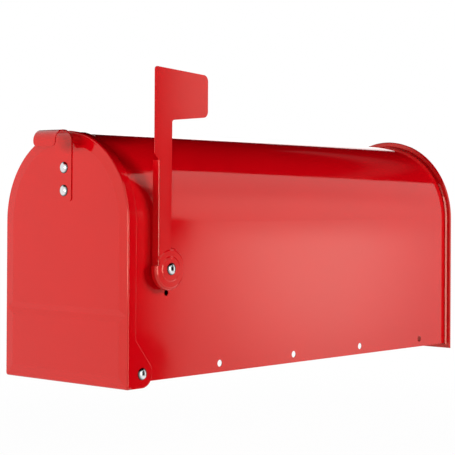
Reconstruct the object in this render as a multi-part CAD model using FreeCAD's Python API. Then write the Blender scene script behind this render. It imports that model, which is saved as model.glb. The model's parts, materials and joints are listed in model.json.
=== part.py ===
import FreeCAD, Part
import math
import os

from FreeCAD import Vector

# Rural mailbox: an arched sheet-steel box with a drop-down door and a signal flag.
# Millimetres. +X is the flag side, -Y is the door end, +Z is up.
# The origin is the middle of the floor's underside, where a mounting board seats.

# Sheet metal
sheet = 0.7
flag_sheet = 0.9
strap_sheet = 1.0
spring_sheet = 0.5

# Shell
shell_width = 166.4
shell_height = 227.0
shell_length = 511.0
board_recess = 19.0

# Back panel and its rim
rim_spread = 5.9
rim_rise = 6.6
rim_drop = 5.5
rim_depth = 3.0
rim_fold = 0.8
rim_lip = 1.6
cap_gap = 0.25
back_field_border = 15.0
back_field_bevel = 3.2
back_field_corner_radius = 4.0
back_field_rise = 1.6

# Floor
floor_front_setback = 8.0
floor_flange_setback = 26.0
floor_flange_depth = 6.6
floor_bend_radius = 1.6

# Side screw holes
screw_hole_radius = 3.3
screw_hole_height = 8.4
screw_hole_first = 120.0
screw_hole_pitch = 112.0
screw_hole_count = 4

# Door pan
door_gap = 0.7
door_standoff = 4.0
door_drop = 6.0
door_flange_depth = 10.0
door_hem_depth = 6.0
door_fold_radius = 2.0
door_corner_radius = 2.6

# Pressed fields on the door's face
field_rise = 0.8
field_border = 2.8
field_bevel = 8.6
valley_height = 66.0
valley_bevel = 5.0
valley_width = 0.8

# Door hinge
hinge_setback = 14.0
hinge_height = 7.5
ear_radius = 13.0
ear_rise = 44.0
hinge_shank_radius = 2.5
hinge_head_radius = 5.5
hinge_head_height = 3.2
hinge_washer_radius = 6.0

# Handle strap with its hooked finger pull
strap_width = 20.0
strap_drop = 65.4
tab_width = 30.0
strap_corner_radius = 3.0
hook_rise = 0.2
hook_reach = 25.6
hook_bend_radius = 10.0
hook_lip_height = 15.6
hook_lip_radius = 5.0
handle_rivet_drop = 34.4
handle_rivet_pitch = 21.4
handle_shank_radius = 2.4
handle_head_radius = 5.4
handle_head_height = 2.5

# Latch spring behind the door
latch_width = 14.0
latch_foot_margin = 6.5
latch_rise_margin = 10.0
latch_run = 12.5
latch_crest = 8.0
latch_tail_run = 13.0
latch_tail_drop = 7.0
latch_bend_radius = 5.0
latch_roof_gap = 1.0

# Flag
flag_setback = 41.0
flag_height = 101.5
flag_standoff = 10.0
flag_disc_radius = 19.5
flag_rim_depth = 5.3
flag_disc_fold = 1.2
flag_face_radius = 16.8
flag_face_rise = 0.6
flag_hub_radius = 10.8
flag_hub_rise = 0.6
flag_step_width = 1.0
arm_front = 15.0
arm_rear = 0.5
arm_flange_depth = 8.4
arm_flange_bottom = 3.5
arm_flange_top = 99.0
arm_fold_radius = 1.4
arm_step = 6.0
plate_front_top = 184.1
plate_tip_top = 179.4
plate_tip_bottom = 140.3
plate_root_bottom = 135.9
plate_reach = 49.5
plate_root = 1.5
plate_tip_radius = 6.0
plate_front_radius = 3.0
plate_root_radius = 2.5
flag_stop_back = 5.0
flag_stop_drop = 22.5
flag_stop_radius = 2.7

# Flag pivot
flag_shank_radius = 3.0
flag_head_radius = 5.6
flag_head_height = 3.0
bush_radius = 6.5
bush_foot_radius = 9.0
bush_foot_height = 1.2
flag_washer_radius = 9.0
spring_washer_radius = 7.6
spring_washer_cone = 0.5

# Fasteners in general
washer_sheet = 0.9
tail_height = 1.6
tail_ratio = 1.6
tail_taper = 0.8
dome_bands = 3

# Clearances
running_clearance = 0.05
hole_clearance = 0.05
seam_clearance = 0.02
axial_clearance = 0.15
cut_margin = 2.0

# Places worked out from the sizes above
half_shell = shell_width / 2
wall_inside = half_shell - sheet
edge_z = -board_recess
crown_z = edge_z + shell_height
arch_z = crown_z - half_shell
front_y = -shell_length / 2
rear_y = shell_length / 2
half_rim = half_shell + rim_spread
rim_arch_z = crown_z + rim_rise - half_rim
rim_bottom_z = edge_z - rim_drop
back_y = rear_y + sheet
rim_y = back_y - rim_depth

half_door = half_shell + door_gap + sheet
door_inside = half_door - sheet
door_y = front_y - door_standoff
door_bottom_z = edge_z - door_drop
door_crown_z = crown_z + door_gap + sheet
door_arch_z = door_crown_z - half_door
door_rim_y = door_y + door_flange_depth
field_y = door_y - field_rise
field_back_y = field_y + sheet
hinge_y = front_y + hinge_setback
hinge_z = edge_z + hinge_height
flag_y = front_y + flag_setback
flag_z = edge_z + flag_height
flag_face_x = half_shell + flag_standoff
flag_back_x = flag_face_x - flag_sheet
hub_face_x = flag_face_x + flag_face_rise + flag_hub_rise
hub_back_x = hub_face_x - flag_sheet


# Outlines

def rounded_outline(corners):
    """Closed wire through (point, radius) corners, each corner rounded by an arc of its radius."""
    count = len(corners)
    starts = []
    ends = []
    arcs = []
    for index in range(count):
        point, radius = corners[index]
        before = corners[index - 1][0] - point
        after = corners[(index + 1) % count][0] - point
        if radius == 0:
            starts.append(point)
            ends.append(point)
            arcs.append(None)
            continue
        before.normalize()
        after.normalize()
        half_angle = before.getAngle(after) / 2
        reach = radius / math.tan(half_angle)
        middle = before + after
        middle.normalize()
        to_arc = radius / math.sin(half_angle) - radius
        starts.append(point + before * reach)
        ends.append(point + after * reach)
        arcs.append(point + middle * to_arc)
    edges = []
    for index in range(count):
        if arcs[index] is not None:
            edges.append(Part.Arc(starts[index], arcs[index], ends[index]).toShape())
        following = starts[(index + 1) % count]
        if (following - ends[index]).Length > 1e-6:
            edges.append(Part.LineSegment(ends[index], following).toShape())
    return Part.Wire(edges)


def arch_wire(half_width, bottom_z, centre_z, y, corner_radius=0.0):
    """Closed arch: straight sides under a half circle, with optional rounded bottom corners."""
    low = bottom_z + corner_radius
    inner = half_width - corner_radius
    right_spring = Vector(half_width, y, centre_z)
    left_spring = Vector(-half_width, y, centre_z)
    crown = Vector(0, y, centre_z + half_width)
    edges = [
        Part.LineSegment(Vector(half_width, y, low), right_spring).toShape(),
        Part.Arc(right_spring, crown, left_spring).toShape(),
        Part.LineSegment(left_spring, Vector(-half_width, y, low)).toShape(),
    ]
    if corner_radius > 0:
        diagonal = corner_radius * (1 - math.sqrt(0.5))
        left_mid = Vector(-half_width + diagonal, y, bottom_z + diagonal)
        right_mid = Vector(half_width - diagonal, y, bottom_z + diagonal)
        left_arc = Part.Arc(Vector(-half_width, y, low), left_mid, Vector(-inner, y, bottom_z))
        right_arc = Part.Arc(Vector(inner, y, bottom_z), right_mid, Vector(half_width, y, low))
        edges.append(left_arc.toShape())
        edges.append(Part.LineSegment(Vector(-inner, y, bottom_z), Vector(inner, y, bottom_z)).toShape())
        edges.append(right_arc.toShape())
    else:
        edges.append(Part.LineSegment(Vector(-half_width, y, low), Vector(half_width, y, low)).toShape())
    return Part.Wire(edges)


def rectangle_wire(half_width, bottom_z, top_z, y):
    """Closed rectangle in a plane of constant y."""
    corners = [
        Vector(-half_width, y, bottom_z),
        Vector(half_width, y, bottom_z),
        Vector(half_width, y, top_z),
        Vector(-half_width, y, top_z),
    ]
    return Part.makePolygon(corners + corners[:1])


def strip_wire(corners, thickness, x):
    """Outline of a bent strip: a (y, z, radius) path and its copy one thickness to the left."""
    points = [Vector(0, y, z) for y, z, _ in corners]
    normals = []
    for start, end in zip(points[:-1], points[1:]):
        along = end - start
        along.normalize()
        normals.append(Vector(0, -along.z, along.y))
    last = len(points) - 1
    near = []
    far = []
    for index, point in enumerate(points):
        radius = corners[index][2]
        before = normals[max(index - 1, 0)]
        after = normals[min(index, last - 1)]
        shift = (before + after) * (thickness / (1 + before.dot(after)))
        left_turn = before.cross(after).x > 0
        far_radius = radius - thickness if left_turn else radius + thickness
        if radius == 0:
            far_radius = 0
        place = Vector(x, 0, 0)
        near.append((point + place, radius))
        far.append((point + shift + place, far_radius))
    return rounded_outline(near + far[::-1])


# Solids that several pieces share

def between(wire, direction):
    """Solid swept straight from a closed flat wire along a vector."""
    return Part.Face(wire).extrude(direction)


def arch_solid(half_width, bottom_z, centre_z, start_y, end_y, corner_radius=0.0):
    """Straight arch-section solid from one y to another."""
    wire = arch_wire(half_width, bottom_z, centre_z, start_y, corner_radius)
    return between(wire, Vector(0, end_y - start_y, 0))


def arch_block(half_width, bottom_z, centre_z, face_y, open_y, corner_radius, fold_radius):
    """Arch-section solid whose edge round the face at face_y is rolled to fold_radius."""
    block = arch_solid(half_width, bottom_z, centre_z, face_y, open_y, corner_radius)
    face_edges = [
        edge for edge in block.Edges
        if abs(edge.BoundBox.YMin - face_y) < 1e-4 and abs(edge.BoundBox.YMax - face_y) < 1e-4
    ]
    return block.makeFillet(fold_radius, face_edges)


def x_cylinder(radius, start_x, end_x, y, z):
    """Cylinder along X between two x places."""
    return Part.makeCylinder(radius, end_x - start_x, Vector(start_x, y, z), Vector(1, 0, 0))


def turned(profile):
    """Solid of revolution about +Z from a closed wire in the XZ plane."""
    return Part.Face(profile).revolve(Vector(0, 0, 0), Vector(0, 0, 1), 360)


def seat(shape, place, direction):
    """Copy of a shape built along +Z, turned to a direction and moved to a place."""
    turn = FreeCAD.Rotation(Vector(0, 0, 1), direction)
    moved = shape.copy()
    moved.Placement = FreeCAD.Placement(place, turn)
    return moved


def rivet(head_radius, head_height, shank_radius, grip):
    """Domed rivet along +Z: head above z = 0, shank of the grip's length, upset tail below."""
    dome = (head_radius ** 2 + head_height ** 2) / (2 * head_height)
    spread = math.asin(head_radius / dome)
    tail_radius = shank_radius * tail_ratio
    outline = []
    for band in range(dome_bands + 1):
        angle = spread * band / dome_bands
        drop = dome * (1 - math.cos(angle))
        outline.append(Vector(dome * math.sin(angle), 0, head_height - drop))
    outline += [
        Vector(shank_radius, 0, 0),
        Vector(shank_radius, 0, -grip),
        Vector(tail_radius, 0, -grip),
        Vector(tail_radius - tail_taper, 0, -grip - tail_height),
        Vector(0, 0, -grip - tail_height),
    ]
    return turned(Part.makePolygon(outline + outline[:1]))


def washer(outer_radius, inner_radius, thickness):
    """Flat washer from z = 0 up to its thickness."""
    disc = Part.makeCylinder(outer_radius, thickness)
    return disc.cut(Part.makeCylinder(inner_radius, thickness))


# Shell: a straight arch, open at both ends and below

def make_body_shell():
    outside = arch_solid(half_shell, edge_z, arch_z, front_y, rear_y)
    inside = arch_solid(wall_inside, edge_z - cut_margin, arch_z, front_y - cut_margin, rear_y + cut_margin)
    shell = outside.cut(inside)
    across = half_shell + cut_margin
    for index in range(screw_hole_count):
        hole_y = front_y + screw_hole_first + screw_hole_pitch * index
        hole_z = edge_z + screw_hole_height
        shell = shell.cut(x_cylinder(screw_hole_radius, -across, across, hole_y, hole_z))
    hinge_hole = hinge_shank_radius + hole_clearance
    shell = shell.cut(x_cylinder(hinge_hole, -across, across, hinge_y, hinge_z))
    flag_hole = flag_shank_radius + hole_clearance
    shell = shell.cut(x_cylinder(flag_hole, 0, across, flag_y, flag_z))
    stop_y = flag_y + flag_stop_back
    stop_z = flag_z - flag_stop_drop
    shell = shell.cut(x_cylinder(flag_stop_radius, 0, across, stop_y, stop_z))
    return shell.removeSplitter()


# Floor: a tray turned over, with its side flanges against the walls

def make_floor_panel():
    def tray(half_width, top_z, radius):
        corners = [
            (Vector(-half_width, floor_y, low_z), 0),
            (Vector(-half_width, floor_y, top_z), radius),
            (Vector(half_width, floor_y, top_z), radius),
            (Vector(half_width, floor_y, low_z), 0),
        ]
        return between(rounded_outline(corners), Vector(0, rear_y - floor_y, 0))

    floor_y = front_y + floor_front_setback
    low_z = -floor_flange_depth
    half_floor = wall_inside - seam_clearance
    outside = tray(half_floor, sheet, floor_bend_radius)
    inside = tray(half_floor - sheet, 0.0, floor_bend_radius - sheet)
    panel = outside.cut(inside)
    relief_length = floor_flange_setback - floor_front_setback
    relief_depth = floor_flange_depth + floor_bend_radius
    relief_corner = Vector(-half_shell, floor_y, sheet - floor_bend_radius - relief_depth)
    relief = Part.makeBox(shell_width, relief_length, relief_depth, relief_corner)
    panel = panel.cut(relief)
    lip_corner = Vector(-half_floor + floor_bend_radius, floor_y, low_z)
    lip = Part.makeBox(2 * (half_floor - floor_bend_radius), sheet, floor_flange_depth, lip_corner)
    return panel.fuse(lip).removeSplitter()


# Back panel: a pan whose rim is turned in over the shell's end and rolled forward, with one pressed field

def make_back_panel():
    def pan(inset, start_y, end_y):
        """Bevelled solid between two places, drawn one inset inside the outer skin."""
        half = half_rim - inset
        low = rim_bottom_z + inset
        fold = rim_fold - inset / 2
        sections = [
            arch_wire(half - fold, low + fold, rim_arch_z, start_y),
            arch_wire(half, low, rim_arch_z, start_y + fold),
            arch_wire(half, low, rim_arch_z, end_y - fold),
            arch_wire(half - fold, low + fold, rim_arch_z, end_y),
        ]
        return Part.makeLoft(sections, True, True)

    def field(base_y):
        low = rim_bottom_z + back_field_border
        half = half_rim - back_field_border
        wide_corner = back_field_corner_radius + back_field_bevel
        base = arch_wire(half, low, rim_arch_z, base_y, wide_corner)
        top = arch_wire(half - back_field_bevel, low + back_field_bevel, rim_arch_z,
                        base_y + back_field_rise, back_field_corner_radius)
        return Part.makeLoft([base, top], True, True)

    throat = half_shell + cap_gap
    throat_low = edge_z - cap_gap
    lip_y = rim_y - rim_lip
    lip = Part.makeLoft([
        arch_wire(throat + sheet / 2, throat_low - sheet / 2, arch_z, lip_y),
        arch_wire(throat + rim_lip, throat_low - rim_lip, arch_z, rim_y),
    ], True, True)
    mouth = arch_solid(throat, throat_low, arch_z, lip_y - cut_margin, rear_y)
    hollow = pan(sheet, rim_y + sheet, rear_y).fuse([field(rear_y), mouth])
    return pan(0.0, rim_y, back_y).fuse([field(back_y), lip]).cut(hollow).removeSplitter()


# Door: a pan over the shell's front edge, two pressed fields and a hinge ear each side

def door_fields(base_y):
    """The upper arched field and the lower rectangular field, broadly bevelled, on a plane at base_y."""
    half = half_door - field_border
    top_half = half - field_bevel
    top_y = base_y - field_rise
    valley_z = door_bottom_z + valley_height
    upper_low = valley_z + valley_width / 2
    lower_high = valley_z - valley_width / 2
    lower_low = door_bottom_z + field_border
    upper = Part.makeLoft([
        arch_wire(half, upper_low, door_arch_z, base_y),
        arch_wire(top_half, upper_low + valley_bevel, door_arch_z, top_y),
    ], True, True)
    lower = Part.makeLoft([
        rectangle_wire(half, lower_low, lower_high, base_y),
        rectangle_wire(top_half, lower_low + field_bevel, lower_high - valley_bevel, top_y),
    ], True, True)
    return [upper, lower]


def door_ear(side):
    """Hinge ear: a round lobe about the hinge, running up into the side flange."""
    ear_top_z = door_bottom_z + ear_rise
    root_y = door_rim_y - door_flange_depth / 2
    to_flange = math.hypot(door_rim_y - hinge_y, ear_top_z - hinge_z)
    heading = math.atan2(ear_top_z - hinge_z, door_rim_y - hinge_y)
    tangent = heading - math.acos(ear_radius / to_flange)
    half_turn = (tangent - math.pi / 2) / 2
    x = door_inside * side

    def on_lobe(angle):
        return Vector(x, hinge_y + ear_radius * math.cos(angle), hinge_z + ear_radius * math.sin(angle))

    bottom = on_lobe(-math.pi / 2)
    end = on_lobe(tangent)
    flange_top = Vector(x, door_rim_y, ear_top_z)
    root_top = Vector(x, root_y, ear_top_z)
    root_bottom = Vector(x, root_y, hinge_z - ear_radius)
    edges = [Part.Arc(bottom, on_lobe(half_turn), end).toShape()]
    for start, stop in ((end, flange_top), (flange_top, root_top), (root_top, root_bottom),
                        (root_bottom, bottom)):
        edges.append(Part.LineSegment(start, stop).toShape())
    return between(Part.Wire(edges), Vector(sheet * side, 0, 0))


def make_door():
    outside = arch_block(half_door, door_bottom_z, door_arch_z, door_y, door_rim_y,
                         door_corner_radius, door_fold_radius)
    inside = arch_block(door_inside, door_bottom_z + sheet, door_arch_z, door_y + sheet,
                        door_rim_y + cut_margin, door_corner_radius - sheet, door_fold_radius - sheet)
    pan = outside.fuse(door_fields(door_y)).cut(inside.fuse(door_fields(door_y + sheet)))
    hem_corner = Vector(-door_inside, door_y + door_hem_depth, door_bottom_z - cut_margin)
    hem_trim = Part.makeBox(2 * door_inside, door_flange_depth, door_corner_radius + cut_margin, hem_corner)
    door = pan.cut(hem_trim).fuse([door_ear(1), door_ear(-1)])
    across = half_door + cut_margin
    hinge_hole = hinge_shank_radius + running_clearance
    door = door.cut(x_cylinder(hinge_hole, -across, across, hinge_y, hinge_z))
    rivet_hole = handle_shank_radius + hole_clearance
    for rivet_z in handle_rivet_places():
        hole = Part.makeCylinder(rivet_hole, door_flange_depth, Vector(0, field_y - cut_margin, rivet_z),
                                 Vector(0, 1, 0))
        door = door.cut(hole)
    return door.removeSplitter()


# Handle: one strap that widens into a tab and is bent over into a hook that fingers pull

def handle_rivet_places():
    """Heights of the lower and the upper handle rivet."""
    high_z = door_crown_z - handle_rivet_drop
    return [high_z - handle_rivet_pitch, high_z]


def make_door_handle():
    bottom_z = door_crown_z - strap_drop
    top_z = door_crown_z + hook_rise
    lip_y = field_y - hook_reach
    lip_z = top_z - hook_lip_height
    path = [
        (field_y, bottom_z, 0),
        (field_y, top_z, hook_bend_radius),
        (lip_y, top_z, hook_bend_radius),
        (lip_y, lip_z, 0),
    ]
    strip = between(strip_wire(path, strap_sheet, -tab_width / 2), Vector(tab_width, 0, 0))
    narrow = strap_width / 2
    wide = tab_width / 2
    flare_start_y = field_y - hook_bend_radius / 2
    flare_end_y = lip_y + hook_bend_radius
    plan = [
        Vector(narrow, field_y, bottom_z),
        Vector(narrow, flare_start_y, bottom_z),
        Vector(wide, flare_end_y, bottom_z),
        Vector(wide, lip_y, bottom_z),
        Vector(-wide, lip_y, bottom_z),
        Vector(-wide, flare_end_y, bottom_z),
        Vector(-narrow, flare_start_y, bottom_z),
        Vector(-narrow, field_y, bottom_z),
    ]
    strap = strip.common(between(Part.makePolygon(plan + plan[:1]), Vector(0, 0, top_z - bottom_z)))

    def end_corners(z):
        return [
            edge for edge in strap.Edges
            if abs(edge.BoundBox.ZMin - z) < 1e-4 and abs(edge.BoundBox.ZMax - z) < 1e-4
            and edge.BoundBox.XLength < 1e-4
        ]

    strap = strap.makeFillet(strap_corner_radius, end_corners(bottom_z))
    strap = strap.makeFillet(hook_lip_radius, end_corners(lip_z))
    for rivet_z in handle_rivet_places():
        hole = Part.makeCylinder(handle_shank_radius + hole_clearance, strap_sheet + 2 * cut_margin,
                                 Vector(0, field_y - strap_sheet - cut_margin, rivet_z), Vector(0, 1, 0))
        strap = strap.cut(hole)
    return strap


def make_handle_rivet(rivet_z):
    grip = strap_sheet + sheet + spring_sheet
    shape = rivet(handle_head_radius, handle_head_height, handle_shank_radius, grip)
    return seat(shape, Vector(0, field_y - strap_sheet, rivet_z), Vector(0, -1, 0))


# Latch spring: held by the handle rivets, its crest rides under the roof

def make_latch_spring():
    low_z, high_z = handle_rivet_places()
    foot_z = low_z - latch_foot_margin
    roof_z = arch_z + math.sqrt(wall_inside ** 2 - (latch_width / 2) ** 2)
    crest_z = roof_z - latch_roof_gap
    rise_z = high_z + latch_rise_margin
    crest_y = field_back_y + latch_run
    crest_end_y = crest_y + latch_crest
    path = [
        (field_back_y + spring_sheet, foot_z, 0),
        (field_back_y + spring_sheet, rise_z, latch_bend_radius),
        (crest_y, crest_z - spring_sheet, latch_bend_radius),
        (crest_end_y, crest_z - spring_sheet, latch_bend_radius),
        (crest_end_y + latch_tail_run, crest_z - spring_sheet - latch_tail_drop, 0),
    ]
    spring = between(strip_wire(path, spring_sheet, -latch_width / 2), Vector(latch_width, 0, 0))
    for rivet_z in (low_z, high_z):
        hole = Part.makeCylinder(handle_shank_radius + hole_clearance, spring_sheet + 2 * cut_margin,
                                 Vector(0, field_back_y - cut_margin, rivet_z), Vector(0, 1, 0))
        spring = spring.cut(hole)
    return spring


# Door hinge: on each side a spacer, the ear, a domed rivet and a backing washer

def make_hinge_rivet(side):
    head_x = half_door + axial_clearance
    grip = head_x - wall_inside + washer_sheet
    shape = rivet(hinge_head_radius, hinge_head_height, hinge_shank_radius, grip)
    return seat(shape, Vector(head_x * side, hinge_y, hinge_z), Vector(side, 0, 0))


def make_hinge_spacer(side):
    thickness = door_gap - axial_clearance
    shape = washer(hinge_washer_radius, hinge_shank_radius + hole_clearance, thickness)
    return seat(shape, Vector(half_shell * side, hinge_y, hinge_z), Vector(side, 0, 0))


def make_hinge_washer(side):
    shape = washer(hinge_washer_radius, hinge_shank_radius + hole_clearance, washer_sheet)
    return seat(shape, Vector(wall_inside * side, hinge_y, hinge_z), Vector(-side, 0, 0))


# Flag: one stamping, plate and arm flat, front edge folded back, ringed disc round the pivot

def flag_point(back, up, x):
    """Point of the flag at a distance behind and above its pivot."""
    return Vector(x, flag_y + back, flag_z + up)


def flag_blank():
    """Flat plate and arm."""
    step_top = arm_flange_top + arm_step
    corners = [
        (flag_point(-arm_front, 0, flag_back_x), 0),
        (flag_point(-arm_front, arm_flange_top, flag_back_x), plate_front_radius),
        (flag_point(-arm_front - arm_step, step_top, flag_back_x), plate_front_radius),
        (flag_point(-arm_front - arm_step, plate_front_top, flag_back_x), plate_front_radius),
        (flag_point(plate_reach, plate_tip_top, flag_back_x), plate_tip_radius),
        (flag_point(plate_reach, plate_tip_bottom, flag_back_x), plate_tip_radius),
        (flag_point(plate_root, plate_root_bottom, flag_back_x), plate_root_radius),
        (flag_point(arm_rear, 0, flag_back_x), 0),
    ]
    return between(rounded_outline(corners), Vector(flag_sheet, 0, 0))


def arm_flange():
    """Strip of the arm's front edge folded back towards the wall, with a rounded fold."""
    low_z = flag_z + arm_flange_bottom
    fold_y = flag_y - arm_front
    inner_radius = arm_fold_radius - min(flag_sheet, arm_fold_radius / 2)
    flange_end_x = flag_face_x - arm_flange_depth
    land_y = fold_y + arm_fold_radius + flag_sheet
    section = rounded_outline([
        (Vector(flange_end_x, fold_y, low_z), 0),
        (Vector(flag_face_x, fold_y, low_z), arm_fold_radius),
        (Vector(flag_face_x, land_y, low_z), 0),
        (Vector(flag_back_x, land_y, low_z), 0),
        (Vector(flag_back_x, fold_y + flag_sheet, low_z), inner_radius),
        (Vector(flange_end_x, fold_y + flag_sheet, low_z), 0),
    ])
    return between(section, Vector(0, 0, arm_flange_top - arm_flange_bottom))


def pivot_disc():
    """Disc turned about the pivot: a hub on a raised face, and a rolled rim towards the wall."""
    bore = flag_shank_radius + running_clearance
    rim_end = -flag_rim_depth

    def side(level, edge_radius, fold):
        face_level = level + flag_face_rise
        hub_level = face_level + flag_hub_rise
        return [
            Vector(bore, 0, hub_level),
            Vector(flag_hub_radius, 0, hub_level),
            Vector(flag_hub_radius + flag_step_width, 0, face_level),
            Vector(flag_face_radius, 0, face_level),
            Vector(flag_face_radius + flag_step_width, 0, level),
            Vector(edge_radius - fold, 0, level),
            Vector(edge_radius, 0, level - fold),
            Vector(edge_radius, 0, rim_end),
        ]

    outer = side(0.0, flag_disc_radius, flag_disc_fold)
    inner = side(-flag_sheet, flag_disc_radius - flag_sheet, flag_disc_fold - flag_sheet / 2)
    outline = outer + inner[::-1]
    disc = turned(Part.makePolygon(outline + outline[:1]))
    return seat(disc, Vector(flag_face_x, flag_y, flag_z), Vector(1, 0, 0))


def make_flag():
    bore = x_cylinder(flag_shank_radius + running_clearance, half_shell, hub_face_x + cut_margin,
                      flag_y, flag_z)
    disc = pivot_disc()
    reach = flag_disc_radius + cut_margin
    depth = flag_standoff + cut_margin
    behind_arm = Vector(flag_back_x - depth, flag_y - arm_front, flag_z + arm_flange_bottom)
    disc = disc.cut(Part.makeBox(depth, arm_front + arm_rear, reach, behind_arm))
    past_fold = Vector(flag_face_x - depth, flag_y - reach, flag_z + arm_flange_bottom)
    disc = disc.cut(Part.makeBox(2 * depth, reach - arm_front, reach, past_fold))
    raised = x_cylinder(flag_face_radius + flag_step_width, flag_back_x - cut_margin,
                        flag_face_x + cut_margin, flag_y, flag_z)
    fold_corner = Vector(flag_back_x - cut_margin, flag_y - arm_front - cut_margin,
                         flag_z + arm_flange_bottom)
    fold_place = Part.makeBox(flag_sheet + 2 * cut_margin, arm_fold_radius + flag_sheet + cut_margin,
                              arm_flange_top - arm_flange_bottom, fold_corner)
    blank = flag_blank().cut(raised).cut(fold_place)
    return blank.fuse([arm_flange(), disc]).cut(bore).removeSplitter()


# Flag pivot: bush on the wall, spring washer, domed rivet and a backing washer inside

def make_flag_bush():
    length = hub_back_x - half_shell - spring_sheet - spring_washer_cone - axial_clearance
    barrel = Part.makeCylinder(bush_radius, length)
    foot = Part.makeCylinder(bush_foot_radius, bush_foot_height)
    bore = Part.makeCylinder(flag_shank_radius + hole_clearance, length)
    shape = barrel.fuse(foot).cut(bore).removeSplitter()
    return seat(shape, Vector(half_shell, flag_y, flag_z), Vector(1, 0, 0))


def make_flag_spring_washer():
    inner = flag_shank_radius + hole_clearance
    outline = [
        Vector(inner, 0, 0),
        Vector(spring_washer_radius, 0, spring_washer_cone),
        Vector(spring_washer_radius, 0, spring_washer_cone + spring_sheet),
        Vector(inner, 0, spring_sheet),
    ]
    shape = turned(Part.makePolygon(outline + outline[:1]))
    start_x = hub_back_x - axial_clearance - spring_washer_cone - spring_sheet
    return seat(shape, Vector(start_x, flag_y, flag_z), Vector(1, 0, 0))


def make_flag_rivet():
    head_x = hub_face_x + axial_clearance
    grip = head_x - wall_inside + washer_sheet
    shape = rivet(flag_head_radius, flag_head_height, flag_shank_radius, grip)
    return seat(shape, Vector(head_x, flag_y, flag_z), Vector(1, 0, 0))


def make_flag_washer():
    shape = washer(flag_washer_radius, flag_shank_radius + hole_clearance, washer_sheet)
    return seat(shape, Vector(wall_inside, flag_y, flag_z), Vector(-1, 0, 0))


# All pieces by name
lower_rivet_z, upper_rivet_z = handle_rivet_places()
pieces = {
    "body_shell": make_body_shell(),
    "floor_panel": make_floor_panel(),
    "back_panel": make_back_panel(),
    "door": make_door(),
    "door_handle": make_door_handle(),
    "handle_rivet_upper": make_handle_rivet(upper_rivet_z),
    "handle_rivet_lower": make_handle_rivet(lower_rivet_z),
    "latch_spring": make_latch_spring(),
    "hinge_rivet_right": make_hinge_rivet(1),
    "hinge_rivet_left": make_hinge_rivet(-1),
    "hinge_spacer_right": make_hinge_spacer(1),
    "hinge_spacer_left": make_hinge_spacer(-1),
    "hinge_washer_right": make_hinge_washer(1),
    "hinge_washer_left": make_hinge_washer(-1),
    "flag": make_flag(),
    "flag_rivet": make_flag_rivet(),
    "flag_bush": make_flag_bush(),
    "flag_spring_washer": make_flag_spring_washer(),
    "flag_backing_washer": make_flag_washer(),
}

os.makedirs("parts", exist_ok=True)
for name, shape in pieces.items():
    shape.exportStep("parts/" + name + ".step")
    box = shape.BoundBox
    print(name, "solids", len(shape.Solids), "valid", shape.isValid(), "volume", round(shape.Volume, 1),
          "x", round(box.XMin, 2), round(box.XMax, 2), "y", round(box.YMin, 2), round(box.YMax, 2),
          "z", round(box.ZMin, 2), round(box.ZMax, 2))
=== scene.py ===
import json
import math

import bpy
import numpy as np
from mathutils import Matrix, Vector

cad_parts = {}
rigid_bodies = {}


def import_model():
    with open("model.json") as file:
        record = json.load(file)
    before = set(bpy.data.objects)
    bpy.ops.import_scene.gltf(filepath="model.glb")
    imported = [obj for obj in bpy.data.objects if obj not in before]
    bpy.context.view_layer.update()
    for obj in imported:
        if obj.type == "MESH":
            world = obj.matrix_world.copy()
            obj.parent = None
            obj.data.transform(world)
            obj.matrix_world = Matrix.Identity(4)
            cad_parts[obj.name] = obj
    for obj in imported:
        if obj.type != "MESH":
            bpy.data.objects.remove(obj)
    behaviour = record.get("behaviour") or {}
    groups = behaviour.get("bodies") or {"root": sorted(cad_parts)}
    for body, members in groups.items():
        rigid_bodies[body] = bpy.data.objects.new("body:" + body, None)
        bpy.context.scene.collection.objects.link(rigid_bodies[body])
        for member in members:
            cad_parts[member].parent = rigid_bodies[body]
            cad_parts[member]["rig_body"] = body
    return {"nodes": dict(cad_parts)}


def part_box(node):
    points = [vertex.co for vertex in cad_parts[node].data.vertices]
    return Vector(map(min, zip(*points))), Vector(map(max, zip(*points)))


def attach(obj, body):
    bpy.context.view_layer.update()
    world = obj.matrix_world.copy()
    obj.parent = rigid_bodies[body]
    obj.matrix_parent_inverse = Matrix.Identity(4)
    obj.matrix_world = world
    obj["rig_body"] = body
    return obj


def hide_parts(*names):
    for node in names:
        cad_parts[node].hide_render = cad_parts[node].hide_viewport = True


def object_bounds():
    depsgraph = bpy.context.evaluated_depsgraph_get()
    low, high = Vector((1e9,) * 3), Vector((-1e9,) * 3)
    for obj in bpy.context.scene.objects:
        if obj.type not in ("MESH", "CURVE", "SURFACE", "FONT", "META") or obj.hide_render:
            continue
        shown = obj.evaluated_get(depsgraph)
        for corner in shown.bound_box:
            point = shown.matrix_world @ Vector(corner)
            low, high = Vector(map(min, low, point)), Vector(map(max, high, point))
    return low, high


# Start from an empty file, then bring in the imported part
for leftover in list(bpy.data.objects):
    bpy.data.objects.remove(leftover)
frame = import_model()
nodes = frame["nodes"]
cad_low, cad_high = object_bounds()
scene = bpy.context.scene
scene.view_settings.view_transform = "Standard"

MM = 0.001

# Colours of the finishes, linear
ENAMEL_RED = (0.640, 0.0008, 0.0048)
ENAMEL_DEEP = (0.605, 0.0006, 0.0044)
ENAMEL_GLOSS_TINT = (1.0, 0.55, 0.43, 1.0)
BRIGHT_PLATE = (0.80, 0.80, 0.81)
BRIGHT_PLATE_DEEP = (0.70, 0.70, 0.71)
# Painted dark reflection round the rims of the rivet domes, and the same dark below them
BRIGHT_PLATE_PAINTED_RIM = (0.05, 0.045, 0.045)
DULL_PLATE = (0.52, 0.52, 0.53)
DULL_PLATE_DEEP = (0.42, 0.42, 0.43)
SPRING_GREY = (0.36, 0.36, 0.38)
SPRING_GREY_DEEP = (0.28, 0.28, 0.30)
NYLON_BLACK = (0.030, 0.030, 0.032)
NYLON_DEEP = (0.021, 0.021, 0.0224)

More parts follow.
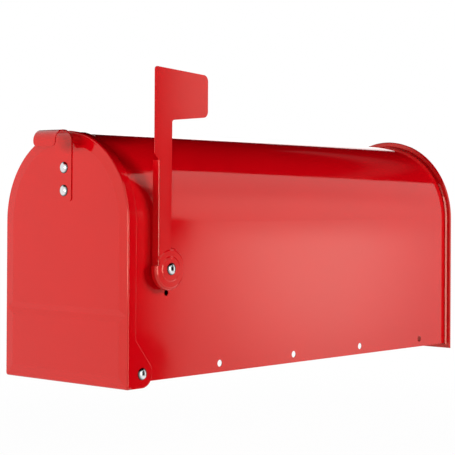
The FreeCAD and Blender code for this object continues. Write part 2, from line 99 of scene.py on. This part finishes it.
# Surface detail of the finishes: depths and radii in metres, the rest plain numbers
SHEET_WAVE_DEPTH = 0.10 * MM
ORANGE_PEEL_DEPTH = 0.002 * MM
NYLON_GRAIN_DEPTH = 0.006 * MM
PAINT_EDGE_RADIUS = 0.9 * MM
EDGE_SAMPLES = 8
NOISE_MIDDLE = (0.3, 0.7)
# Rivet domes: the mesh mark of their rims, and where the painted dark reflection starts
EDGE_MARK = "edge_share"
PAINTED_RIM_FROM = 0.66

# Rivets, in metres: for each node the way its head faces, the head's height and the shank's radius
BRIM_HEIGHT = 0.35 * MM
TAIL_HEIGHT = 1.6 * MM
TAIL_SPREAD = 1.6
TAIL_ROUND = 0.3
TAIL_UPRIGHT = 0.4
TAIL_STEPS = 8
DOME_STEPS = 20
TURN_STEPS = 72
RIVETS = {
    "handle_rivet_upper": ((0, -1, 0), 2.5 * MM, 2.4 * MM),
    "handle_rivet_lower": ((0, -1, 0), 2.5 * MM, 2.4 * MM),
    "hinge_rivet_right": ((1, 0, 0), 3.2 * MM, 2.5 * MM),
    "hinge_rivet_left": ((-1, 0, 0), 3.2 * MM, 2.5 * MM),
    "flag_rivet": ((1, 0, 0), 3.0 * MM, 3.0 * MM),
}

# Studio: places and sizes in metres, in the part's frame
FLOOR_REACH = 7.0
FLOOR_DROP = 0.09
FLOOR_WHITE = (0.82, 0.82, 0.82, 1.0)
STUDIO_DIM = (0.03, 0.03, 0.03, 1.0)
STUDIO_WHITE = (1.0, 1.0, 1.0, 1.0)
BODY_AIM = (0.0, 0.0, 0.10)
DOOR_AIM = (0.0, -0.26, 0.10)
CEILING_REACH = 5.0
CEILING_HEIGHT = 5.0
REAR_Y = 2.65
REAR_LEFT_X = -5.0
REAR_SPLIT_X = -1.2
REAR_RIGHT_X = 0.90
REAR_BRIGHT_TOP = 1.25
REAR_STRIPE_HEIGHT = 1.95
RIGHT_FRONT_X = 4.6
RIGHT_FRONT_SPLIT_Y = -1.2
TALL_CARD_LOW = -1.5
TALL_CARD_HIGH = 2.5
FRONT_Y = -4.3

# Line that the right-hand cards stand on, and how far some of them stand off it towards the part
RIGHT_LINE_POINT = (2.106, 2.353)
RIGHT_LINE_COSINE = 0.766
RIGHT_LINE_SINE = 0.643
RIGHT_LINE_FAR = -8.0
GLOW_NEARER = 0.1
SLANT_NEARER = 0.2
FILM_NEARER = 0.3

# Slanted dark card: distance along the right-hand line and height of each corner
SLANT_OUTLINE = [
    (-0.46, -0.1), (-0.39, -0.1), (-0.39, 0.65), (-0.30, 0.65), (-0.17, 1.2),
    (0.22, 2.07), (0.62, 2.8), (0.86, 3.2), (-0.46, 3.2),
]

# Camera as the photograph has it: angles in degrees, image sizes in pixels
IMAGE_SIDE = 455.0
FOCAL_PIXELS = 1457.41
CENTRE_PIXELS = (233.011, 188.685)
SENSOR_MM = 36.0
CAMERA_PLACE = Vector((1016.907, -1171.467, 148.268)) * MM
CAMERA_YAW = 41.546
CAMERA_PITCH = 0.333
CAMERA_ROLL = 0.304


# Node building

def ramp(tree, source, start, end, low, high):
    """A value that goes from low to high while the source goes from start to end."""
    node = tree.nodes.new("ShaderNodeMapRange")
    node.interpolation_type = "SMOOTHSTEP"
    node.inputs["From Min"].default_value = start
    node.inputs["From Max"].default_value = end
    node.inputs["To Min"].default_value = low
    node.inputs["To Max"].default_value = high
    tree.links.new(source, node.inputs["Value"])
    return node.outputs["Result"]


def distance_from(tree, centre, weights=(1.0, 1.0, 1.0)):
    """Distance of the shaded point from a centre in object coordinates, each axis with its own weight."""
    place = tree.nodes.new("ShaderNodeTexCoord")
    weighted = tree.nodes.new("ShaderNodeVectorMath")
    weighted.operation = "MULTIPLY"
    weighted.inputs[1].default_value = weights
    tree.links.new(place.outputs["Object"], weighted.inputs[0])
    node = tree.nodes.new("ShaderNodeVectorMath")
    node.operation = "DISTANCE"
    node.inputs[1].default_value = Vector(centre) * Vector(weights)
    tree.links.new(weighted.outputs["Vector"], node.inputs[0])
    return node.outputs["Value"]


def combined(tree, operation, first, second):
    """Result of a plain operation on two values."""
    node = tree.nodes.new("ShaderNodeMath")
    node.operation = operation
    tree.links.new(first, node.inputs[0])
    tree.links.new(second, node.inputs[1])
    return node.outputs[0]


# Finishes

class Finish:
    """A material under construction: its tree, its shader and the object coordinates."""

    def __init__(self, name):
        self.material = bpy.data.materials.new(name)
        self.material.use_nodes = True
        self.tree = self.material.node_tree
        self.shader = self.tree.nodes["Principled BSDF"]
        self.place = self.tree.nodes.new("ShaderNodeTexCoord").outputs["Object"]

    def set(self, **values):
        """Plain numbers and colours straight on the shader's sockets."""
        for socket, value in values.items():
            self.shader.inputs[socket.replace("_", " ")].default_value = value

    def link(self, source, target):
        """A wire from an output to an input."""
        self.tree.links.new(source, target)

    def noise(self, cells, detail):
        """Noise over object coordinates, in cells per metre."""
        texture = self.tree.nodes.new("ShaderNodeTexNoise")
        texture.inputs["Scale"].default_value = cells
        texture.inputs["Detail"].default_value = detail
        self.link(self.place, texture.inputs["Vector"])
        return texture.outputs["Fac"]

    def spread(self, source, low, high):
        """The noise's middle range stretched between two numbers."""
        node = self.tree.nodes.new("ShaderNodeMapRange")
        node.inputs["From Min"].default_value = NOISE_MIDDLE[0]
        node.inputs["From Max"].default_value = NOISE_MIDDLE[1]
        node.inputs["To Min"].default_value = low
        node.inputs["To Max"].default_value = high
        self.link(source, node.inputs["Value"])
        return node.outputs["Result"]

    def tint(self, source, first, second):
        """Base colour that goes from the first to the second with the source."""
        node = self.tree.nodes.new("ShaderNodeMix")
        node.data_type = "RGBA"
        node.inputs["A"].default_value = (*first, 1.0)
        node.inputs["B"].default_value = (*second, 1.0)
        self.link(self.spread(source, 0.0, 1.0), node.inputs["Factor"])
        self.link(node.outputs["Result"], self.shader.inputs["Base Color"])

    def painted_rim_colour(self, colour):
        """Painted dark reflection: another base colour where the mesh's edge attribute comes near one."""
        mark = self.tree.nodes.new("ShaderNodeAttribute")
        mark.attribute_name = EDGE_MARK
        near = ramp(self.tree, mark.outputs["Fac"], start=PAINTED_RIM_FROM, end=1.0, low=0.0, high=1.0)
        node = self.tree.nodes.new("ShaderNodeMix")
        node.data_type = "RGBA"
        node.inputs["B"].default_value = (*colour, 1.0)
        base = self.shader.inputs["Base Color"]
        self.link(base.links[0].from_socket, node.inputs["A"])
        self.link(near, node.inputs["Factor"])
        self.link(node.outputs["Result"], base)

    def roughness(self, source, low, high):
        """Roughness between two numbers, as the source goes."""
        self.link(self.spread(source, low, high), self.shader.inputs["Roughness"])

    def relief(self, *layers, edge_radius=None):
        """Bump layers of (height source, depth in metres), the first lowest.

        Where a radius is given, they lie over edges softened to it.
        """
        normal = None
        if edge_radius is not None:
            rounding = self.tree.nodes.new("ShaderNodeBevel")
            rounding.samples = EDGE_SAMPLES
            rounding.inputs["Radius"].default_value = edge_radius
            normal = rounding.outputs["Normal"]
        for source, depth in layers:
            node = self.tree.nodes.new("ShaderNodeBump")
            node.inputs["Strength"].default_value = 1.0
            node.inputs["Distance"].default_value = depth
            self.link(source, node.inputs["Height"])
            if normal is not None:
                self.link(normal, node.inputs["Normal"])
            normal = node.outputs["Normal"]
        self.link(normal, self.shader.inputs["Normal"])


def red_enamel(name, edge_radius=None):
    """Stoved gloss enamel on thin sheet: slow waves of the sheet under fine orange peel."""
    finish = Finish(name)
    finish.set(Metallic=0.0, IOR=1.5, Specular_IOR_Level=0.92, Specular_Tint=ENAMEL_GLOSS_TINT)
    finish.tint(finish.noise(cells=9.0, detail=2.0), ENAMEL_DEEP, ENAMEL_RED)
    finish.roughness(finish.noise(cells=35.0, detail=3.0), low=0.05, high=0.08)
    sheet_waves = finish.noise(cells=11.0, detail=1.0)
    orange_peel = finish.noise(cells=900.0, detail=2.0)
    layers = [(sheet_waves, SHEET_WAVE_DEPTH), (orange_peel, ORANGE_PEEL_DEPTH)]
    finish.relief(*layers, edge_radius=edge_radius)
    return finish.material


def plated(name, colour, deep, low, high, grain_depth, painted_rim=None):
    """Plated metal: cloudy brightness, a fine grain, and a painted dark reflection where a mesh marks its
    edge.
    """
    finish = Finish(name)
    finish.set(Metallic=1.0)
    finish.tint(finish.noise(cells=300.0, detail=3.0), deep, colour)
    # Painted dark reflection, where the mesh marks it
    if painted_rim is not None:
        finish.painted_rim_colour(painted_rim)
    finish.roughness(finish.noise(cells=500.0, detail=3.0), low, high)
    finish.relief((finish.noise(cells=1800.0, detail=2.0), grain_depth))
    return finish.material


def moulded_nylon():
    """Moulded nylon: soft mottling and a faint grain."""
    finish = Finish("moulded_nylon")
    finish.set(Metallic=0.0, IOR=1.53)
    finish.tint(finish.noise(cells=120.0, detail=2.0), NYLON_DEEP, NYLON_BLACK)
    finish.roughness(finish.noise(cells=260.0, detail=2.0), low=0.45, high=0.58)
    finish.relief((finish.noise(cells=1500.0, detail=2.0), NYLON_GRAIN_DEPTH))
    return finish.material


finishes = {
    "red_paint": red_enamel("red_enamel"),
    # The rivets' bright plate, with a painted dark reflection toward the rims of their domes
    "bright_zinc": plated("bright_plate", BRIGHT_PLATE, BRIGHT_PLATE_DEEP, low=0.12, high=0.22,
                          grain_depth=0.004 * MM, painted_rim=BRIGHT_PLATE_PAINTED_RIM),
    "plain_zinc": plated("dull_plate", DULL_PLATE, DULL_PLATE_DEEP, low=0.30, high=0.42,
                         grain_depth=0.006 * MM),
    "spring_steel": plated("spring_leaf", SPRING_GREY, SPRING_GREY_DEEP, low=0.24, high=0.34,
                           grain_depth=0.005 * MM),
    "nylon": moulded_nylon(),
}
for node in nodes.values():
    for place in node.material_slots:
        place.material = finishes[place.material.name]

# On the door, the enamel also softens the sheet's cut edges
door_enamel = red_enamel("door_enamel", PAINT_EDGE_RADIUS)
for place in nodes["door"].material_slots:
    place.material = door_enamel


# Rivets with smooth domes

def turned_mesh(name, radii, heights, centre, axis):
    """Surface of revolution: every (radius, height) of a profile carried round the axis at equal angles.

    The profile starts and ends on the axis, so its ends are single poles, closed by triangles.
    """
    angles = np.linspace(0.0, 2.0 * np.pi, TURN_STEPS, endpoint=False)
    axis = Vector(axis).normalized()
    side = axis.orthogonal().normalized()
    other = axis.cross(side)
    ring = np.outer(np.cos(angles), side) + np.outer(np.sin(angles), other)
    rings = radii[1:-1, None, None] * ring + heights[1:-1, None, None] * np.array(axis)
    poles = heights[[0, -1], None] * np.array(axis)
    points = np.concatenate([poles[:1], rings.reshape(-1, 3), poles[1:]]) + np.array(centre)
    first = 1 + np.arange(len(radii) - 3)[:, None] * TURN_STEPS
    column = np.arange(TURN_STEPS)
    after = (column + 1) % TURN_STEPS
    quads = np.stack([
        first + column,
        first + TURN_STEPS + column,
        first + TURN_STEPS + after,
        first + after,
    ], axis=-1).reshape(-1, 4)
    bottom = len(points) - 1
    last_ring = bottom - TURN_STEPS
    top_fan = np.stack([np.zeros_like(column), 1 + column, 1 + after], axis=-1)
    bottom_fan = np.stack([last_ring + column, np.full_like(column, bottom), last_ring + after], axis=-1)
    faces = quads.tolist() + top_fan.tolist() + bottom_fan.tolist()
    mesh = bpy.data.meshes.new(name)
    mesh.from_pydata(points.tolist(), [], faces)
    mesh.update()
    mesh.shade_smooth()
    return mesh


def dome_profile(head_radius, head_height, shank_radius, grip):
    """Rivet profile from the top down: spherical dome, short upright brim, shank and rounded tail.

    The dome's sphere has the radius (head radius squared + rise squared) / (2 rise).
    """
    rise = head_height - BRIM_HEIGHT
    sphere = (head_radius ** 2 + rise ** 2) / (2.0 * rise)
    turn = np.linspace(0.0, math.asin(head_radius / sphere), DOME_STEPS)
    dome_radii = sphere * np.sin(turn)
    dome_heights = head_height - sphere * (1.0 - np.cos(turn))
    tail_radius = TAIL_SPREAD * shank_radius
    bulge = np.linspace(0.0, np.pi / 2, TAIL_STEPS)
    tail_radii = tail_radius - TAIL_ROUND * tail_radius * (1.0 - np.cos(bulge))
    tail_heights = -grip - TAIL_HEIGHT * (TAIL_UPRIGHT + (1.0 - TAIL_UPRIGHT) * np.sin(bulge))
    shank_radii = [head_radius, shank_radius, shank_radius, tail_radius]
    shank_heights = [0.0, 0.0, -grip, -grip]
    radii = np.concatenate([dome_radii, shank_radii, tail_radii, [0.0]])
    heights = np.concatenate([dome_heights, shank_heights, tail_heights, [-grip - TAIL_HEIGHT]])
    return radii, heights


def riding_rivet(node_name, axis, head_height, shank_radius):
    """Smooth rivet in the place of a CAD rivet, its length and head taken from that node's box."""
    low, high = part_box(node_name)
    axis = Vector(axis)
    centre = (low + high) / 2
    size = high - low
    along = abs(size.dot(axis))
    crossways = [way for way in (Vector((1, 0, 0)), Vector((0, 0, 1))) if abs(way.dot(axis)) < 0.5]
    head_radius = max(size.dot(way) for way in crossways) / 2
    head_place = centre + axis * (along / 2 - head_height)
    grip = along - head_height - TAIL_HEIGHT
    radii, heights = dome_profile(head_radius, head_height, shank_radius, grip)
    mesh = turned_mesh(node_name + "_dome", radii, heights, head_place, axis)
    # Mark for the painted dark reflection: it grows with the radius over the dome and is one below the
    # dome
    share = np.where(heights > 0.0, radii / head_radius, 1.0)
    ring_share = np.repeat(share[1:-1], TURN_STEPS)
    mark = mesh.attributes.new(EDGE_MARK, "FLOAT", "POINT")
    mark.data.foreach_set("value", np.concatenate([share[:1], ring_share, share[-1:]]))
    rivet = bpy.data.objects.new(node_name + "_dome", mesh)
    scene.collection.objects.link(rivet)
    mesh.materials.append(finishes["bright_zinc"])
    body = nodes[node_name]["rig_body"]
    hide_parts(node_name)
    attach(rivet, body)


for node_name, (axis, head_height, shank_radius) in RIVETS.items():
    riding_rivet(node_name, axis, head_height, shank_radius)


# Studio

def background_rays(tree):
    """One where a ray that meets the background comes from the camera, a gloss or a glass, else zero."""
    path = tree.nodes.new("ShaderNodeLightPath")
    seen = path.outputs["Is Camera Ray"]
    for kind in ("Is Glossy Ray", "Is Transmission Ray"):
        seen = combined(tree, "MAXIMUM", seen, path.outputs[kind])
    return seen


def bare_material(name):
    """Material that has no shader yet."""
    material = bpy.data.materials.new(name)
    material.use_nodes = True
    material.node_tree.nodes.remove(material.node_tree.nodes["Principled BSDF"])
    return material


def set_surface(material, shader):
    """A shader's output as the material's surface."""
    tree = material.node_tree
    tree.links.new(shader, tree.nodes["Material Output"].inputs["Surface"])


def stage_sheet(name, corners, material):
    """Flat stage piece, its corners given in the part's frame."""
    mesh = bpy.data.meshes.new(name)
    mesh.from_pydata(corners, [], [tuple(range(len(corners)))])
    mesh.materials.append(material)
    sheet = bpy.data.objects.new(name, mesh)
    scene.collection.objects.link(sheet)
    return sheet


def level_square(reach, height):
    """Corners of a level square round the frame's upright axis."""
    turns = [(-1, -1), (1, -1), (1, 1), (-1, 1)]
    return [(x * reach, y * reach, height) for x, y in turns]


def pale_floor():
    """Wide pale sheet below the open door: white to the camera far off, and shaded near the part."""
    floor_z = cad_low.z - FLOOR_DROP
    material = bare_material("pale_sheet")
    tree = material.node_tree
    matt = tree.nodes.new("ShaderNodeBsdfDiffuse")
    matt.inputs["Color"].default_value = FLOOR_WHITE
    white = tree.nodes.new("ShaderNodeEmission")
    mix = tree.nodes.new("ShaderNodeMixShader")
    away = distance_from(tree, (0.0, 0.0, floor_z))
    whiteness = ramp(tree, away, start=0.25, end=0.8, low=0.98, high=1.0)
    share = combined(tree, "MULTIPLY", background_rays(tree), whiteness)
    tree.links.new(share, mix.inputs["Fac"])
    tree.links.new(matt.outputs["BSDF"], mix.inputs[1])
    tree.links.new(white.outputs["Emission"], mix.inputs[2])
    set_surface(material, mix.outputs["Shader"])
    stage_sheet("floor_sheet", level_square(FLOOR_REACH, floor_z), material).visible_glossy = False


def white_surround():
    """World: white as a background and in reflections, a dim studio as a source of light."""
    world = bpy.data.worlds.new("studio")
    world.use_nodes = True
    tree = world.node_tree
    mix = tree.nodes.new("ShaderNodeMix")
    mix.data_type = "RGBA"
    mix.inputs["A"].default_value = STUDIO_DIM
    mix.inputs["B"].default_value = STUDIO_WHITE
    tree.links.new(background_rays(tree), mix.inputs["Factor"])
    tree.links.new(mix.outputs["Result"], tree.nodes["Background"].inputs["Color"])
    scene.world = world


def softbox(name, place, aim, width, height, brightness):
    """Rectangular area lamp that faces a point and lights a white surface there to a given brightness.

    It lights the part but shows no image of itself in the gloss.
    """
    reach = Vector(aim) - Vector(place)
    lamp = bpy.data.lights.new(name, "AREA")
    lamp.shape = "RECTANGLE"
    lamp.size = width
    lamp.size_y = height
    lamp.energy = brightness * math.pi ** 2 * reach.length_squared
    holder = bpy.data.objects.new(name, lamp)
    scene.collection.objects.link(holder)
    holder.location = place
    holder.rotation_mode = "QUATERNION"
    holder.rotation_quaternion = reach.to_track_quat("-Z", "Y")
    holder.visible_camera = False
    holder.visible_glossy = False


# Cards that the gloss mirrors

def upright(start, end, low, high):
    """Corners of an upright rectangle over a line on the floor, between two heights."""
    return [(*start, low), (*end, low), (*end, high), (*start, high)]


def right_place(along, nearer=0.0):
    """Place by the right-hand line: so far along it, and so far off it towards the part."""
    x, y = RIGHT_LINE_POINT
    return (x - RIGHT_LINE_COSINE * along - RIGHT_LINE_SINE * nearer,
            y + RIGHT_LINE_SINE * along - RIGHT_LINE_COSINE * nearer)


def reflected_card(name, corners, material):
    """Card that shows in reflections alone."""
    card = stage_sheet(name, corners, material)
    card.visible_camera = False
    card.visible_diffuse = False
    card.visible_transmission = False
    card.visible_shadow = False


def glow_card(name, corners, glow=0.0, pattern=None, clear=False):
    """Card with an even glow, dark at zero, or with a pattern of glow.

    A clear card adds its glow to what lies behind it.
    """
    material = bare_material(name)
    tree = material.node_tree
    emission = tree.nodes.new("ShaderNodeEmission")
    emission.inputs["Strength"].default_value = glow
    if pattern is not None:
        tree.links.new(pattern(tree), emission.inputs["Strength"])
    shader = emission.outputs["Emission"]
    if clear:
        through = tree.nodes.new("ShaderNodeBsdfTransparent")
        both = tree.nodes.new("ShaderNodeAddShader")
        tree.links.new(through.outputs["BSDF"], both.inputs[0])
        tree.links.new(shader, both.inputs[1])
        shader = both.outputs["Shader"]
    set_surface(material, shader)
    reflected_card(name, corners, material)


def shade_film(name, sides, heights, centre, lift_weight, start, end):
    """Clear film before the right-hand cards, black round its centre, that dims what the wall mirrors.

    Its sides and centre are given as distances along the right-hand line, and heights.
    """
    material = bare_material(name)
    tree = material.node_tree
    darkest = (*right_place(centre[0], FILM_NEARER), centre[1])
    away = distance_from(tree, darkest, (1.0, 1.0, lift_weight))
    film = tree.nodes.new("ShaderNodeBsdfTransparent")
    tree.links.new(ramp(tree, away, start, end, low=0.0, high=1.0), film.inputs["Color"])
    set_surface(material, film.outputs["BSDF"])
    feet = [right_place(along, FILM_NEARER) for along in sides]
    reflected_card(name, upright(*feet, *heights), material)


def rear_stripe(tree):
    """Faint level stripe that the roof mirrors."""
    off_stripe = distance_from(tree, (0.0, 0.0, REAR_STRIPE_HEIGHT), (0.0, 0.0, 1.0))
    return ramp(tree, off_stripe, start=0.02, end=0.14, low=0.06, high=0.0)


def right_edge(tree):
    """Dark that turns bright near the card's end, by the distance from the right-hand line's far end."""
    from_far = distance_from(tree, (*right_place(RIGHT_LINE_FAR), 0.0), (1.0, 1.0, 0.0))
    return ramp(tree, from_far, start=7.55, end=7.75, low=0.0, high=1.0)


def wall_glow(tree):
    """Glow that the long wall mirrors: a soft round part, cut off at its top, under a faint high part."""
    middle = right_place(0.12, GLOW_NEARER)
    from_low = distance_from(tree, (*middle, -0.02), (1.0, 1.0, 0.9))
    round_part = ramp(tree, from_low, start=0.05, end=0.50, low=1.05, high=0.0)
    height = distance_from(tree, (0.0, 0.0, -5.0), (0.0, 0.0, 1.0))
    below_top = ramp(tree, height, start=5.0, end=5.10, low=1.0, high=0.0)
    low_part = combined(tree, "MULTIPLY", round_part, below_top)
    from_high = distance_from(tree, (*middle, 0.6), (1.0, 1.0, 0.5))
    high_part = ramp(tree, from_high, start=0.1, end=0.6, low=0.35, high=0.0)
    return combined(tree, "ADD", low_part, high_part)


def rear_cards():
    """Dark card behind the part, and beyond its left edge a bright low card under a dark high one."""
    left = (REAR_LEFT_X, REAR_Y)
    split = (REAR_SPLIT_X, REAR_Y)
    right = (REAR_RIGHT_X, REAR_Y)
    glow_card("rear_dark_card", upright(split, right, -1.0, CEILING_HEIGHT), pattern=rear_stripe)
    glow_card("rear_low_bright_card", upright(left, split, 0.1, REAR_BRIGHT_TOP), glow=1.7)
    glow_card("rear_high_dark_card", upright(left, split, REAR_BRIGHT_TOP, CEILING_HEIGHT))


def front_cards():
    """Dim card and two bright strips round the front, which fold lines and rivets mirror."""
    split = (RIGHT_FRONT_X, RIGHT_FRONT_SPLIT_Y)
    dim_corners = upright(split, (RIGHT_FRONT_X, 0.6), TALL_CARD_LOW, TALL_CARD_HIGH)
    glow_card("right_front_dim_card", dim_corners, glow=0.4)
    strip_corners = upright((RIGHT_FRONT_X, -1.9), split, TALL_CARD_LOW, TALL_CARD_HIGH)
    glow_card("right_front_strip", strip_corners, glow=5.0)
    glow_card("front_strip", upright((-0.55, FRONT_Y), (1.25, FRONT_Y), -0.2, 0.5), glow=8.0)


def wall_cards():
    """Slanted dark card, two shade films and the glow, which stand before the right-hand dark card."""
    slant_corners = [(*right_place(along, SLANT_NEARER), height) for along, height in SLANT_OUTLINE]
    glow_card("right_slant_dark_card", slant_corners)
    shade_film("right_shade_card", sides=(-0.318, -0.18), heights=(-0.15, 0.46),
               centre=(-0.300, 0.16), lift_weight=0.35, start=0.035, end=0.095)
    shade_film("right_low_shade_card", sides=(-0.50, -0.26), heights=(-0.54, -0.18),
               centre=(-0.377, -0.345), lift_weight=0.80, start=0.066, end=0.086)
    glow_feet = [right_place(along, GLOW_NEARER) for along in (-0.6, 0.9)]
    glow_card("right_glow_card", upright(*glow_feet, -1.5, 2.0), pattern=wall_glow, clear=True)


def photo_camera():
    """Camera from its yaw, pitch and roll, with the shift that the photograph's framing needs."""
    yaw, pitch, roll = (math.radians(angle) for angle in (CAMERA_YAW, CAMERA_PITCH, CAMERA_ROLL))
    ahead = Vector((-math.sin(yaw) * math.cos(pitch), math.cos(yaw) * math.cos(pitch), math.sin(pitch)))
    sideways = Vector((math.cos(yaw), math.sin(yaw), 0.0))
    overhead = sideways.cross(ahead)
    across = math.cos(roll) * sideways + math.sin(roll) * overhead
    up = math.cos(roll) * overhead - math.sin(roll) * sideways
    turn = Matrix((across, up, -ahead)).transposed()
    data = bpy.data.cameras.new("photo_camera")
    data.sensor_width = SENSOR_MM
    data.lens = FOCAL_PIXELS * SENSOR_MM / IMAGE_SIDE
    data.shift_x = (IMAGE_SIDE / 2 - CENTRE_PIXELS[0]) / IMAGE_SIDE
    data.shift_y = (CENTRE_PIXELS[1] - IMAGE_SIDE / 2) / IMAGE_SIDE
    data.clip_start = 0.05
    data.clip_end = 100.0
    camera = bpy.data.objects.new("photo_camera", data)
    scene.collection.objects.link(camera)
    camera.matrix_world = Matrix.Translation(CAMERA_PLACE) @ turn.to_4x4()
    scene.camera = camera


pale_floor()
white_surround()
softbox("right_key", place=(2.47, 1.43, 1.03), aim=BODY_AIM, width=1.3, height=0.85, brightness=0.73)
softbox("left_front_key", place=(-0.54, -1.40, 0.32), aim=DOOR_AIM, width=0.6, height=0.4, brightness=0.69)
softbox("camera_fill", place=(1.75, -1.95, 0.20), aim=BODY_AIM, width=0.6, height=0.6, brightness=0.28)
softbox("left_rear_fill", place=(-2.20, 1.60, 0.90), aim=BODY_AIM, width=1.0, height=0.8, brightness=0.30)
rear_cards()
right_feet = [right_place(along) for along in (-4.0, -0.23)]
glow_card("right_dark_card", upright(*right_feet, TALL_CARD_LOW, TALL_CARD_HIGH), pattern=right_edge)
front_cards()
wall_cards()
glow_card("ceiling_dark_card", level_square(CEILING_REACH, CEILING_HEIGHT))
photo_camera()
